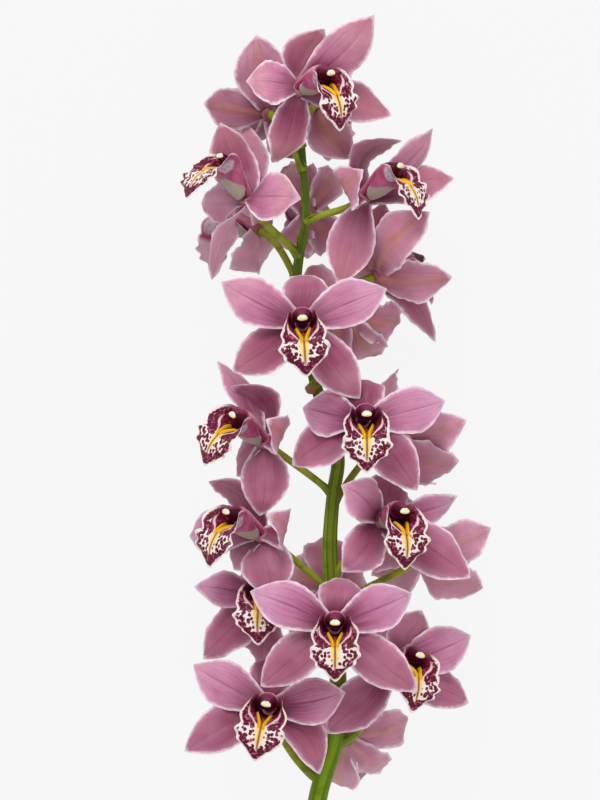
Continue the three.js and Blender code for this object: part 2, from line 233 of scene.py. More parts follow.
class Finish:
    """A procedural material, built one node at a time."""

    def __init__(self, name):
        self.material = bpy.data.materials.new(name)
        self.material.use_nodes = True
        self.tree = self.material.node_tree
        self.shader = self.tree.nodes["Principled BSDF"]

    def node(self, kind, inputs, output=0, **settings):
        """One node's output; its inputs are other nodes' outputs or plain values."""
        new = self.tree.nodes.new(kind)
        for key, value in settings.items():
            setattr(new, key, value)
        for key, value in inputs.items():
            if isinstance(value, bpy.types.NodeSocket):
                self.tree.links.new(value, new.inputs[key])
            else:
                new.inputs[key].default_value = value
        return new.outputs[output]

    def mark(self, name):
        """One of the marks that the shape carries at its vertices."""
        return self.node("ShaderNodeAttribute", {}, "Fac", attribute_name=name)

    def maths(self, operation, *values):
        return self.node("ShaderNodeMath", dict(enumerate(values)), operation=operation)

    def plus(self, a, b):
        return self.maths("ADD", a, b)

    def minus(self, a, b):
        return self.maths("SUBTRACT", a, b)

    def times(self, a, b):
        return self.maths("MULTIPLY", a, b)

    def size(self, a):
        """The value without its sign."""
        return self.maths("ABSOLUTE", a)

    def span(self, value, low, high, start=0.0, end=1.0):
        """From start where the value is low to end where it is high, softly."""
        inputs = {0: value, 1: low, 2: high, 3: start, 4: end}
        return self.node("ShaderNodeMapRange", inputs, interpolation_type="SMOOTHSTEP")

    def blend(self, share, a, b):
        """Colour a with that share of colour b in it."""
        return self.node("ShaderNodeMix", {0: share, 6: a, 7: b}, 2, data_type="RGBA")

    def point(self, **axes):
        return self.node("ShaderNodeCombineXYZ", axes)

    def noise(self, scale, vector=None, detail=3.0, rough=0.5):
        vector = vector or self.node("ShaderNodeTexCoord", {}, "Object")
        inputs = {"Vector": vector, "Scale": scale, "Detail": detail, "Roughness": rough}
        return self.node("ShaderNodeTexNoise", inputs)

    def bump(self, height, distance, strength):
        inputs = {"Height": height, "Distance": distance, "Strength": strength}
        self.tree.links.new(self.node("ShaderNodeBump", inputs), self.shader.inputs["Normal"])

    def paint(self, colour, **sockets):
        """The finished material, with the shader's own sockets set."""
        self.tree.links.new(colour, self.shader.inputs["Base Color"])
        for key, value in sockets.items():
            self.shader.inputs[key.replace("_", " ")].default_value = value
        return self.material


def stem_finish():
    green = Finish("stem_flesh")
    height = green.mark("height")
    grain = green.point(X=green.times(green.mark("round"), 9.0), Y=green.times(height, 5.0))
    streaks = green.noise(1.0, grain)
    blotches = green.noise(160.0)
    paint = green.blend(green.span(height, 0.15, 0.65), linear(90, 126, 0), linear(98, 112, 28))
    paint = green.blend(green.span(height, 0.62, 0.88), paint, linear(62, 80, 18))
    paint = green.blend(green.mark("young"), paint, linear(144, 148, 44))
    paint = green.blend(green.span(streaks, 0.46, 0.64, 0.0, 0.55), paint, linear(136, 164, 26))
    paint = green.blend(green.span(streaks, 0.28, 0.42, 0.55, 0.0), paint, linear(48, 74, 4))
    paint = green.blend(green.span(blotches, 0.5, 0.7, 0.0, 0.4), paint, linear(58, 74, 6))
    paint = green.blend(green.mark("dry"), paint, linear(150, 116, 72))
    green.bump(streaks, 0.0003, 0.5)
    return green.paint(paint, Roughness=0.5, Specular_IOR_Level=0.15)


def stem_radius(t):
    """Thinner towards the tip, and slightly uneven higher up."""
    swelling = 1 + 0.05 * math.sin(40 * t) * t
    return mix(STEM_RADIUS, STEM_TIP_RADIUS, t**1.2) * swelling


stem_flesh = stem_finish()
stem_line = through(STEM_POINTS)
stem_shape = bmesh.new()
rod(stem_shape, stem_line, stem_radius, sides=28, rings=220, height=lambda t, turn: t,
    round=upper_side, young=0, dry=lambda t, turn: 0.6 * (1 - ease(t, 0, 0.004)))
stem = into_piece(stem_shape, "flower_stem", stem_flesh)
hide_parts("stem")

# ---------------------------------------------------------------- stub of a fallen bloom
# A short thick stalk end, dried and brown where the bloom broke off. It stands on the stem's
# upper side.

STUB_POINTS = [(-10, 83, 58), (-13.5, 80.5, 63), (-17, 76.5, 65)]


def stub_radius(t):
    """Thicker towards its broken end, whose edge is rounded."""
    return mix(2.6, 3.1, t) * (1 - 0.5 * ease(t, 0.9, 1))


stub_shape = bmesh.new()
rod(stub_shape, through(STUB_POINTS), stub_radius, sides=20, rings=24, height=0.4,
    round=upper_side, young=0.5, dry=lambda t, turn: ease(t, 0.6, 0.85))
stub = into_piece(stub_shape, "fallen_bloom_stub", stem_flesh)
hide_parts("stem")

# ---------------------------------------------------------------- flower stalks and bracts
# Each bloom stands on a thin yellow-green stalk that leaves the stem above a small pointed
# bract. A bloom's place is its heart, the way it faces, and where its stalk joins the stem.

HEART_BACK = 2.6              # from the bloom's heart to its back
SEAT_GAP = 0.3                # from there to the end of its stalk
STALK_STEPS = 40
LEAVING = 10                  # how far a stalk goes the way it leaves the stem
ARRIVING = 14                 # and how far it comes up straight behind its bloom
BRACT_WIDTH = 6.8
BRACT_LENGTH = 8
BRACT_THICKNESS = 0.5

# A bloom is turned from straight up towards the right, raised towards the spray's tip, and
# rolled, in degrees. Its stalk joins the stem at that height, and "leaves" is the way that it
# sets off where that isn't the usual one. Each of the five tepals has its tip's x, y and z,
# and then, where they aren't the usual ones, its bow forwards, its turn on its own length in
# degrees, its width, and its sway to one side. A painted light over 0 makes a bloom's tepals
# paler, as painted light that lifts the shade on blooms lying low or under others, and one
# under 0 makes them darker, as painted shade on a bloom that faces the key light; the low one
# is for the lower tepals alone. The lip's middle lobe is broad as a share of the usual width,
# its side lobes flare by so many millimetres, and "curled" is its length as a share of the
# usual one, where it curls in.
BLOOMS = {
    "01": dict(heart=(-22, 246, 78), turned=38, raised=16, roll=9, joins=214,
               dorsal=(-7, 280, 64, -9), petal_left=(-51, 250, 88, 6), petal_right=(20, 286, 90, 4),
               sepal_left=(-35, 204, 76, 4), sepal_right=(30, 232, 58, 5)),
    "02": dict(heart=(-39, 234, 50), turned=-150, raised=25, joins=200, painted_light=-0.3,
               dorsal=(-46, 277, 54, -7, -20, 31), petal_left=(-28, 262, 12, -4),
               petal_right=(-75, 240, 42, -4), sepal_left=(-26, 212, 8, -5),
               sepal_right=(-50, 220, -2, -5)),
    "03": dict(heart=(-51, 184, 72), turned=-58, raised=55, joins=152, low_painted_light=0.5, broad=1.25,
               dorsal=(-65, 228, 66, -5, 50, 28), petal_left=(-52, 229, 46, -9, 20, 24),
               petal_right=(-22, 185, 92, 6, 35, 30), sepal_left=(-77, 183, 58, 3, -50, 24),
               sepal_right=(-72, 140, 74, 4, 50)),
    "04": dict(heart=(14.5, 186, 70), turned=54, raised=35, joins=171,
               dorsal=(36, 217, 66, -13, 40, 28), petal_left=(17, 201, 98, -12),
               petal_right=(55, 224, 48, 3, 40, 22), sepal_left=(1, 137, 78, -4, 40, 27),
               sepal_right=(65, 197, 42, 4, 0, 27)),
    "05": dict(heart=(22, 142, 52), turned=115, raised=20, joins=128, broad=0.7, curled=0.86,
               dorsal=(26, 183, 50, -3, 45), petal_left=(52, 177, 74, -10, 0, 31),
               petal_right=(8, 156, 6, -4), sepal_left=(64, 142, 60, -6, 0, 28),
               sepal_right=(55, 105, 32, -5, 80, 20, -11)),
    "06": dict(heart=(-46, 168, 36), turned=-130, raised=15, joins=138, painted_light=0.6,
               dorsal=(-56, 204, 22, -5), petal_left=(-41, 180, -8, -5, 0, 18),
               petal_right=(-66, 186, 0, -5), sepal_left=(-44, 152, -6, -5),
               sepal_right=(-61, 146, 44, -4)),
    "07": dict(heart=(-17, 178, 32), turned=180, raised=15, joins=160,
               dorsal=(-24, 204, -6, -6), petal_left=(-2, 202, 6, -7, 0, 20),
               petal_right=(-29, 203, -8, -7, 0, 22), sepal_left=(3, 164, -6, -7),
               sepal_right=(-26, 158, -6, -7, 0, 22)),
    "08": dict(heart=(-20, 114, 90), turned=0, raised=8, roll=4, joins=94, flare=0.3,
               dorsal=(-20, 143, 74, 9), petal_left=(-65, 138, 88), petal_right=(27, 134, 88),
               sepal_left=(-59, 88, 82), sepal_right=(12, 73, 86)),
    "09": dict(heart=(4, 122, 36), turned=170, raised=15, joins=104,
               dorsal=(-16, 147, 16, -7), petal_left=(34, 118, 12, -7),
               petal_right=(-30, 122, -40, -7), sepal_left=(22, 99, -6, -7),
               sepal_right=(-6, 92, -8, -7)),
    "10": dict(heart=(-41.5, 49.5, 72), turned=-41, raised=30, roll=-26, joins=18, broad=1.22,
               dorsal=(-60, 80, 68, -8, -25, 25, 7), petal_left=(-67, 95, 48, 4, 60, 19),
               petal_right=(-42, 62, 104, -10, 0, 23), sepal_left=(-58, 32, 50, 4),
               sepal_right=(-43, 8, 78, 4, -50, 28)),
    "11": dict(heart=(13.5, 60, 88), turned=4, raised=10, joins=44,
               dorsal=(14, 84, 64, 8), petal_left=(-20, 68, 82), petal_right=(60, 72, 76),
               sepal_left=(-26, 36, 82), sepal_right=(44, 22, 84)),
    "12": dict(heart=(30, 50, 48), turned=115, raised=22, joins=12, painted_light=0.2, broad=0.7, curled=0.83,
               dorsal=(34, 90, 40, -3), petal_left=(72, 61, 62, -6), petal_right=(14, 54, -4, -4),
               sepal_left=(68, 38, 56, -5, 0, 36), sepal_right=(56, 25, 22, -4)),
    "13": dict(heart=(-43, -3, 70), turned=-46, raised=27, roll=-10, joins=-38, broad=1.15,
               dorsal=(-73, 26, 66, -8, -40, 26), petal_left=(-85, -4, 44, 6, -20),
               petal_right=(-41, 9, 98, -12, 0, 24), sepal_left=(-60, -22, 58, 4),
               sepal_right=(-36, -38, 84, 4, -40, 30)),
    "14": dict(heart=(24, 5, 76), turned=26, raised=12, joins=-30,
               dorsal=(26, 30, 54, 6), petal_left=(3, 25, 90), petal_right=(68, 17, 64, 4, 40, 20),
               sepal_left=(3, -23, 88), sepal_right=(74, -27, 70, 5, 0, 31)),
    "15": dict(heart=(46, -16, 42), turned=150, raised=30, joins=-44, painted_light=0.25,
               dorsal=(38, 20, 34, -4), petal_left=(86, 1, 44, -5), petal_right=(8, -6, 30, -4),
               sepal_left=(82, -32, 34, -5, 0, 32), sepal_right=(28, -34, -4, -5)),
    "16": dict(heart=(-38, -40, 52), turned=-12, raised=17, joins=-84,
               dorsal=(-44, -14, 24, 5), petal_left=(-81, -32, 48, 5, 0, 21),
               petal_right=(-15, -44, 74, 4, 0, 20), sepal_left=(-76, -73, 50),
               sepal_right=(-42, -80, 24)),
    "17": dict(heart=(-2, -54, 98), turned=0, raised=8, joins=-80,
               dorsal=(2, -27, 80, 9), petal_left=(-49, -34, 94), petal_right=(41, -35, 94),
               sepal_left=(-43, -87, 90), sepal_right=(44, -89, 98)),
    "18": dict(heart=(-38.5, -100, 72), turned=-3, raised=8, roll=-12, joins=-142, leaves=(-19, 8),
               dorsal=(-38, -72, 50, 8), petal_left=(-81, -76, 64), petal_right=(4, -91, 74),
               sepal_left=(-86, -124, 68), sepal_right=(-10, -137, 70, 4, 0, 22, -6)),
    "19": dict(heart=(30, -77, 62), turned=33, raised=15, roll=-12, joins=-122, leaves=(26, 6),
               dorsal=(48, -46, 52), petal_left=(10, -54, 52), petal_right=(75, -60, 46),
               sepal_left=(-7, -114, 67, 4, 0, 28), sepal_right=(74, -98, 44)),
    "20": dict(heart=(5, -118, 36), turned=170, raised=10, joins=-136, painted_light=0.2,
               dorsal=(14, -92, 4, -7), petal_left=(40, -108, 6, -7, 0, 22),
               petal_right=(-28, -114, -6, -7), sepal_left=(28, -134, 6, -7, 0, 20),
               sepal_right=(3, -147, -6, -7)),
    "21": dict(heart=(-4, -34, 34), turned=180, raised=10, joins=-54,
               dorsal=(-8, -6, 12, -7), petal_left=(12, -24, -8, -7),
               petal_right=(-24, -20, 2, -7, 0, 22), sepal_left=(14, -62, -6, -7),
               sepal_right=(-20, -66, -6, -7)),
    "22": dict(heart=(-12, 238, 42), turned=165, raised=5, joins=218,
               dorsal=(-12, 262, 8, -7), petal_left=(4, 262, 14, -7, 0, 22),
               petal_right=(-19, 246, 0, -5, 0, 16), sepal_left=(8, 208, 46, -7, 0, 26),
               sepal_right=(-21, 224, -4, -5, 0, 16)),
}


class Seat:
    """Where a bloom sits: its right, its head and the way it faces."""

    def __init__(self, bloom):
        turned, raised, roll = (math.radians(bloom.get(way, 0)) for way in ("turned", "raised", "roll"))
        self.heart = Vector(bloom["heart"])
        self.facing = Vector((math.sin(turned) * math.cos(raised), math.sin(raised),
                              math.cos(turned) * math.cos(raised)))
        head = (Vector((0, 1, 0)) - self.facing * self.facing.y).normalized()
        self.head = Matrix.Rotation(roll, 3, self.facing) @ head
        self.right = self.head.cross(self.facing)

    def place(self, to_right, to_head, forwards):
        return self.heart + self.right * to_right + self.head * to_head + self.facing * forwards


def stalk_radius(t):
    """Flared at its foot, and a little where it meets the bloom."""
    return 2.0 + 1.0 * (1 - ease(t, 0.02, 0.26)) + 0.4 * ease(t, 0.82, 1)


def stalk(shape, bloom):
    """The stalk from the stem to the bloom's back; gives the line that it follows."""
    seat = Seat(bloom)
    foot = min(stem_line, key=lambda place: abs(place.y - bloom["joins"]))
    end = seat.place(0, 0, -HEART_BACK - SEAT_GAP)
    if "leaves" in bloom:
        away = Vector((*bloom["leaves"], 0))
    else:
        away = ((end - foot).normalized() + Vector((0, 0.4, 0))).normalized() * LEAVING
    bends = [foot, foot + away, seat.place(0, 0, -HEART_BACK - ARRIVING), end]
    line = []
    for i in range(STALK_STEPS + 1):
        t = i / STALK_STEPS
        line.append(bends[0] * (1 - t) ** 3 + bends[1] * 3 * t * (1 - t) ** 2
                    + bends[2] * 3 * t * t * (1 - t) + bends[3] * t**3)
    rod(shape, line, stalk_radius, sides=18, rings=30, lead=Vector((0, 0.2, 1)),
        height=lambda t, turn: 0.3 + 0.3 * (1 - t), round=upper_side,
        young=lambda t, turn: ease(t, 0.08, 0.3), dry=0)
    return line


def bract(shape, line):
    """A small pointed scale under the foot of the stalk on that line, dry at its tip."""
    height, young, side, dry = (layer_of(shape, name) for name in ("height", "young", "round", "dry"))
    foot = line[0]
    outward = (at(line, 0.5) - foot).normalized()
    aside = outward.cross(Vector((0, 1, 0))).normalized()
    below = aside.cross(outward)
    scale = bmesh.ops.create_grid(shape, x_segments=6, y_segments=8, size=1)["verts"]
    for vert in scale:
        across, t = vert.co.x, (vert.co.y + 1) / 2
        vert[height] = 0.4
        vert[young] = 0.7
        vert[side] = abs(across)
        vert[dry] = ease(t, 0.55, 1)
        wide = BRACT_WIDTH / 2 * (1 - t**2.5)
        drop = (3.2 - 1.4 * across**2 * (1 - t)) * (1 - 0.3 * t)
        vert.co = foot + outward * (3 + BRACT_LENGTH * t) + aside * (across * wide) + below * drop
    faces = {face for vert in scale for face in vert.link_faces}
    edges = {edge for vert in scale for edge in vert.link_edges}
    bmesh.ops.solidify(shape, geom=[*faces, *scale, *edges], thickness=BRACT_THICKNESS)


stalk_shape = bmesh.new()
for bloom in BLOOMS.values():
    bract(stalk_shape, stalk(stalk_shape, bloom))
stalks = into_piece(stalk_shape, "flower_stalks", stem_flesh)
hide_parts("stem")

# ---------------------------------------------------------------- tepals
# Three sepals and two petals to a bloom: waxy blades, dusty rose with finer veins, a darker
# middle vein and foot, a pale margin, and tan-flushed backs. Each is a grid shaped to its
# blade, doubled for thickness and closed along its margin.

THICKNESS = 1.0               # of a tepal's middle, near its foot
PRESS_BEND = 5                # from this far above the table a tepal bends to lie on it
PETAL_WIDTH = 27
SEPAL_WIDTH = 26
PETAL_ROOT = 0.8              # in front of the heart, and the sepals grow behind it
SEPAL_ROOT = -1.4
FOOT_OUT = 2.6                # a tepal's foot lies this far from the middle of the heart
USUAL_BOW = 5
WAVE = 6.28                   # one wave of a margin, in radians
TEPALS = ["dorsal", "petal_left", "petal_right", "sepal_left", "sepal_right"]


def tepal_front(rose, along, from_middle, threads, veins):
    """Sepals are darker than petals, partly their own colour and partly painted shade for their
    tilt away from the key light; both have a dark foot and middle vein and paler sides.
    """
    foot = rose.plus(along, rose.span(threads, 0.3, 0.7, 0.06, -0.07))
    # The sepals' deeper paint is partly their own colour and partly painted shade, for how they tilt
    # away from the key light.
    sepal = rose.blend(rose.span(foot, 0.06, 0.55), linear(108, 32, 60), linear(146, 70, 101))
    sepal = rose.blend(rose.span(along, 0.5, 1.0), sepal, linear(176, 110, 138))
    petal = rose.blend(rose.span(foot, 0.06, 0.5), linear(112, 34, 66), linear(178, 104, 141))
    petal = rose.blend(rose.span(along, 0.4, 0.95), petal, linear(205, 150, 182))
    paint = rose.blend(rose.mark("petal"), sepal, petal)
    paint = rose.blend(rose.times(veins, 0.26), paint, linear(134, 50, 88))
    middle = rose.times(rose.span(from_middle, 0.01, 0.06, 1.0, 0.0),
                        rose.span(along, 0.5, 1.0, 0.8, 0.35))
    paint = rose.blend(middle, paint, linear(134, 50, 86))
    paint = rose.blend(rose.span(from_middle, 0.5, 1.0, 0.0, 0.4), paint, linear(212, 160, 190))
    return rose.blend(rose.times(rose.mark("tan"), 0.8), paint, linear(180, 116, 118))


def tepal_back(rose, along, from_middle, veins):
    """Duller than the front, with pale sides and a tan stripe down the middle."""
    paint = rose.blend(rose.span(along, 0.0, 0.6), linear(150, 82, 104), linear(186, 122, 142))
    paint = rose.blend(rose.times(veins, 0.35), paint, linear(154, 86, 108))
    paint = rose.blend(rose.span(from_middle, 0.4, 1.0, 0.0, 0.45), paint, linear(216, 170, 196))
    stripe = rose.times(rose.span(from_middle, 0.04, 0.4, 0.8, 0.0),
                        rose.span(along, 0.0, 0.9, 1.0, 0.75))
    return rose.blend(stripe, paint, linear(176, 114, 94))


def tepal_finish():
    rose = Finish("tepal_rose")
    along, across = rose.mark("along"), rose.mark("across")
    from_middle = rose.size(across)
    grain = rose.point(X=rose.times(across, 17.0), Y=rose.times(along, 2.4), Z=rose.mark("chance"))
    threads = rose.noise(1.0, grain, detail=2.5, rough=0.6)
    veins = rose.span(threads, 0.46, 0.66)
    front = tepal_front(rose, along, from_middle, threads, veins)
    back = tepal_back(rose, along, from_middle, veins)
    paint = rose.blend(rose.mark("back"), front, back)
    # Painted light: paler paint lifts the shade on blooms that lie low or under others, and deeper
    # paint is painted shade on a bloom that faces the key light.
    painted_light = rose.mark("painted_light")
    paint = rose.blend(rose.maths("MAXIMUM", painted_light, 0.0), paint, linear(232, 178, 206))
    darker = rose.maths("MAXIMUM", rose.times(painted_light, -1.0), 0.0)
    paint = rose.blend(darker, paint, linear(92, 40, 64))
    cloud = rose.noise(140.0, detail=4.0)
    paint = rose.blend(rose.span(cloud, 0.4, 0.7, 0.0, 0.22), paint, linear(150, 74, 108))
    drift = rose.noise(38.0, detail=2.0)
    paint = rose.blend(rose.span(drift, 0.4, 0.7, 0.0, 0.25), paint, linear(208, 152, 178))
    ragged = rose.plus(rose.mark("rim"), rose.span(rose.noise(300.0), 0.3, 0.7, -0.4, 0.4))
    pale_rim = rose.times(rose.span(ragged, 0.0, 2.3, 0.96, 0.0),
                          rose.span(rose.noise(70.0), 0.35, 0.6, 0.55, 1.0))
    paint = rose.blend(pale_rim, paint, linear(238, 216, 228))
    rose.bump(rose.plus(rose.times(veins, 0.5), rose.times(cloud, 0.6)), 0.0003, 0.7)
    return rose.paint(paint, Roughness=0.5, Specular_IOR_Level=0.3, Sheen_Weight=0.1,
                      Sheen_Roughness=0.4, Subsurface_Weight=0.1, Subsurface_Scale=0.002,
                      Subsurface_Radius=(1.0, 0.4, 0.5))


def blade(shape, surface, across, along, thick, marks, mirrored=False, middle=1.0):
    """A thin leaf-like blade of so many cells across and along, with a sharp margin.

    Its front is surface(u, v), where u goes from its foot to its tip, and v from -1 at one
    side to 1 at the other. Where middle is under 1 the cells are narrower along the middle.
    """
    layers = {name: layer_of(shape, name) for name in marks}
    back = layer_of(shape, "back")
    front = bmesh.ops.create_grid(shape, x_segments=across, y_segments=along, size=1)["verts"]
    depth = {}
    margin = []
    for vert in front:
        u = (vert.co.y + 1) / 2
        v = vert.co.x * (middle + (1 - middle) * vert.co.x**2)
        v = -v if mirrored else v
        if vert.is_boundary:
            margin.append(vert)
        for name, mark in marks.items():
            vert[layers[name]] = marked(mark, u, v)
        depth[vert] = 0 if vert.is_boundary else thick(u, v)
        vert.co = surface(u, v)
    sheet = {face for vert in front for face in vert.link_faces}
    for face in sheet:
        face.normal_update()
    for vert in front:
        vert.normal_update()
    edges = {edge for vert in front for edge in vert.link_edges}
    copy = bmesh.ops.duplicate(shape, geom=[*front, *edges, *sheet])
    twins = copy["vert_map"]
    for vert in front:
        twins[vert][back] = 1
        twins[vert].co = vert.co - vert.normal * depth[vert]
    back_faces = [part for part in copy["geom"] if isinstance(part, bmesh.types.BMFace)]
    bmesh.ops.reverse_faces(shape, faces=back_faces)
    bmesh.ops.weld_verts(shape, targetmap={twins[vert]: vert for vert in margin})
    for edge in {edge for vert in margin for edge in vert.link_edges}:
        if len({face in sheet for face in edge.link_faces}) == 2:
            edge.smooth = False


def pressed(place):
    """Flesh that would sink below the table lies flat on it, with a soft bend at the edge."""
    floor = THICKNESS / 2
    if place.z < floor - PRESS_BEND:
        place.z = floor
    elif place.z < floor + PRESS_BEND:
        place.z = floor + (place.z - floor + PRESS_BEND) ** 2 / (4 * PRESS_BEND)
    return place


def tepal_outline(u, petal):
    """Half the width at u as a share of the widest: petals have a narrower foot than sepals."""
    foot, widest, point = (0.36, 0.56, 1.0) if petal else (0.44, 0.5, 0.86)
    if u < widest:
        return mix(foot, 1, math.sin(math.pi / 2 * u / widest) ** 1.15)
    return mix(0.02, 1, math.cos(math.pi / 2 * (u - widest) / (1 - widest)) ** point)


def tepal(shape, seat, petal, tip, bow, turn, width, sway, tan, painted_light, chance):
    """One tepal from the bloom's heart to its tip, its margin waved and finely crimped."""
    foot = seat.place(0, 0, PETAL_ROOT if petal else SEPAL_ROOT)
    outward = tip - foot
    outward = (outward - seat.facing * outward.dot(seat.facing)).normalized()
    foot = foot + outward * FOOT_OUT
    reach = tip - foot
    length = reach.length
    line = reach.normalized()
    face = (seat.facing - line * seat.facing.dot(line)).normalized()
    arch = Matrix.Rotation(math.radians(turn), 3, line) @ face
    crumpled = mix(1.8, 1, ease(seat.heart.z, 40, 70))      # more so in the blooms lower down
    waves = [(chance.uniform(0.7, 1.4) * crumpled, chance.uniform(1.6, 2.8), chance.uniform(0, 6))
             for side in range(2)]
    crimps = [(chance.uniform(0.2, 0.45) * crumpled, chance.uniform(6, 9), chance.uniform(0, 6))
              for side in range(2)]
    hook = chance.uniform(-3.2, 0.8)
    sway = chance.uniform(-0.07, 0.07) * width + sway
    shift = chance.uniform(0, 50)

    def surface(u, v):
        tall, many, start = waves[v > 0]
        low, close, begin = crimps[v > 0]
        nicks = 1 + 0.012 * math.sin(close * WAVE * u + begin + 1) * abs(v)
        half = width / 2 * tepal_outline(u, petal) * nicks
        front = Matrix.Rotation(math.radians(turn) * ease(u, 0, 0.4), 3, line) @ face
        free = ease(u, 0.12, 0.35) * (1 - ease(u, 0.88, 1))      # the margin waves only here
        cup = mix(0.16, -0.1, ease(u, 0, 0.45)) * half * v * v
        groove = 0.7 * math.exp(-((v * half / 1.5) ** 2)) * (1 - 0.6 * u)
        wave = tall * abs(v) ** 3 * math.sin(many * WAVE * u + start) * free
        crimp = low * abs(v) ** 6 * math.sin(close * WAVE * u + begin) * free
        lift = cup - groove + wave + crimp + hook * ease(u, 0.7, 1) ** 2
        return pressed(foot + reach * u + arch * (bow * 4 * u * (1 - u)) + front * lift
                       + line.cross(front) * (half * v + sway * math.sin(math.pi * u)))

    def thick(u, v):
        return THICKNESS * (0.1 + (1 - 0.4 * u) * (1 - v * v) ** 0.75)

    def rim(u, v):
        beside = width / 2 * tepal_outline(u, petal) * (1 - abs(v))
        return min(beside, (1 - u) * length * 0.6)

    blade(shape, surface, across=20, along=30, thick=thick, marks={
        "along": lambda u, v: u, "across": lambda u, v: v, "rim": rim,
        "tan": lambda u, v: tan * ease(u, 0.3, 0.9), "petal": float(petal), "chance": shift,
        "painted_light": painted_light,
    })


tepal_rose = tepal_finish()

# ---------------------------------------------------------------- column and its cap
# The arched column at each bloom's heart, rose above and burgundy below, widest and darkest
# near its blunt tip, where the cream anther cap sits. It grows with the tepals, so that a
# bloom's tepals, heart, column and cap are one piece.

COLUMN_SPINE = [(0, -1), (2.2, 7), (2.5, 14), (1.7, 22), (-0.4, 30)]      # height, depth
CAP_HALF = (2.9, 1.75, 1.6)   # half its width, height and depth
CAP_PLACE = (-0.4, 29.8)      # height, depth
COLUMN_SLOT = 1
CAP_SLOT = 2


def column_finish():
    flesh = Finish("column_flesh")
    under, tip = flesh.mark("under"), flesh.mark("tip")
    cloud = flesh.noise(420.0)
    paint = flesh.blend(flesh.span(under, 0.1, 0.5), linear(204, 142, 150), linear(160, 68, 104))
    paint = flesh.blend(flesh.span(under, 0.5, 0.85), paint, linear(78, 14, 32))
    paint = flesh.blend(flesh.span(cloud, 0.5, 0.66, 0.0, 0.5), paint, linear(126, 34, 76))
    paint = flesh.blend(flesh.span(tip, 0.05, 0.3), paint, linear(150, 60, 104))
    dark_end = flesh.times(flesh.span(tip, 0.12, 0.42), flesh.span(under, 0.0, 0.2, 0.5, 1.0))
    paint = flesh.blend(dark_end, paint, linear(70, 0, 26))
    flesh.bump(cloud, 0.0002, 0.5)
    return flesh.paint(paint, Roughness=0.45, Specular_IOR_Level=0.2)


def cap_finish():
    wax = Finish("anther_cap")
    cloud = wax.noise(500.0)
    paint = wax.blend(wax.span(cloud, 0.4, 0.7), linear(250, 240, 206), linear(228, 204, 150))
    wax.bump(cloud, 0.0002, 0.4)
    return wax.paint(paint, Roughness=0.35, Specular_IOR_Level=0.45)


def heart(shape, seat):
    """The short neck that the tepals and the column grow from."""
    line = [seat.place(0, 0, depth) for depth in (-HEART_BACK, -1, 1, 2)]
    rod(shape, line, lambda t: 4.5 * (1 - 0.3 * ease(t, 0.6, 1)), sides=18, rings=6,
        lead=seat.head, along=0.1, back=0.5, rim=9)


def column_radius(t):
    """Slender at its foot, widest two thirds of the way along, and rounded off at its tip."""
    return mix(3.8, 6.1, ease(t, 0.25, 0.68)) - 3.7 * ease(t, 0.7, 1.04)


def column(shape, seat):
    before = set(shape.faces)
    line = through([seat.place(0, height, depth) for height, depth in COLUMN_SPINE], samples=80)
    rod(shape, line, column_radius, sides=24, rings=34, flat=0.83, lead=seat.head,
        under=lambda t, turn: (1 - math.cos(turn)) / 2,
        tip=lambda t, turn: ease(t, 0.68, 0.98), back=0)
    for face in set(shape.faces) - before:
        face.material_index = COLUMN_SLOT


def cap(shape, seat):
    """The anther cap: a flattened bead on the column's tip, with a groove down its middle."""
    before = set(shape.faces)
    wide, high, deep = CAP_HALF
    height, depth = CAP_PLACE
    bead = bmesh.ops.create_uvsphere(shape, u_segments=18, v_segments=12, radius=1)["verts"]
    for vert in bead:
        x, y, z = vert.co
        groove = 0.4 * math.exp(-((x / 0.16) ** 2))
        vert.co = seat.place(x * wide, height + y * high - 0.5 * x * x, depth + z * deep - groove)
    for face in set(shape.faces) - before:
        face.material_index = CAP_SLOT


column_flesh = column_finish()
anther_cap = cap_finish()
for name, bloom in BLOOMS.items():
    seat = Seat(bloom)
    chance = random.Random(f"bloom {name}")
    shape = bmesh.new()
    heart(shape, seat)
    usual_tan = mix(0.1, 0.8, ease(seat.heart.y, 60, 240))      # the upper blooms are more tan
    for part in TEPALS:
        petal = "petal" in part
        tip, own = Vector(bloom[part][:3]), bloom[part][3:]
        usual = (USUAL_BOW, 0, PETAL_WIDTH if petal else SEPAL_WIDTH, 0)
        bow, turn, width, sway = (*own, *usual[len(own):])
        tan = usual_tan + chance.uniform(-0.1, 0.2)
        # how much painted light (paler) or painted shade (deeper) this tepal's paint carries
        painted_light = bloom.get("painted_light", 0) + bloom.get("low_painted_light", 0) * (tip.y < seat.heart.y)
        tepal(shape, seat, petal, tip, bow, turn, width, sway, tan, painted_light, chance)
    column(shape, seat)
    cap(shape, seat)
    tepals = into_piece(shape, f"bloom_{name}_flower", tepal_rose, column_flesh, anther_cap)
    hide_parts(f"bloom_{name}_tepals")

# ---------------------------------------------------------------- lips
# The lip: a trough with two side lobes that clasp the column, then a broad wavy middle lobe
# that hangs and comes to a point. Cream, blotched burgundy towards its white frilled margin,
# with two yellow keels that run together down its middle.

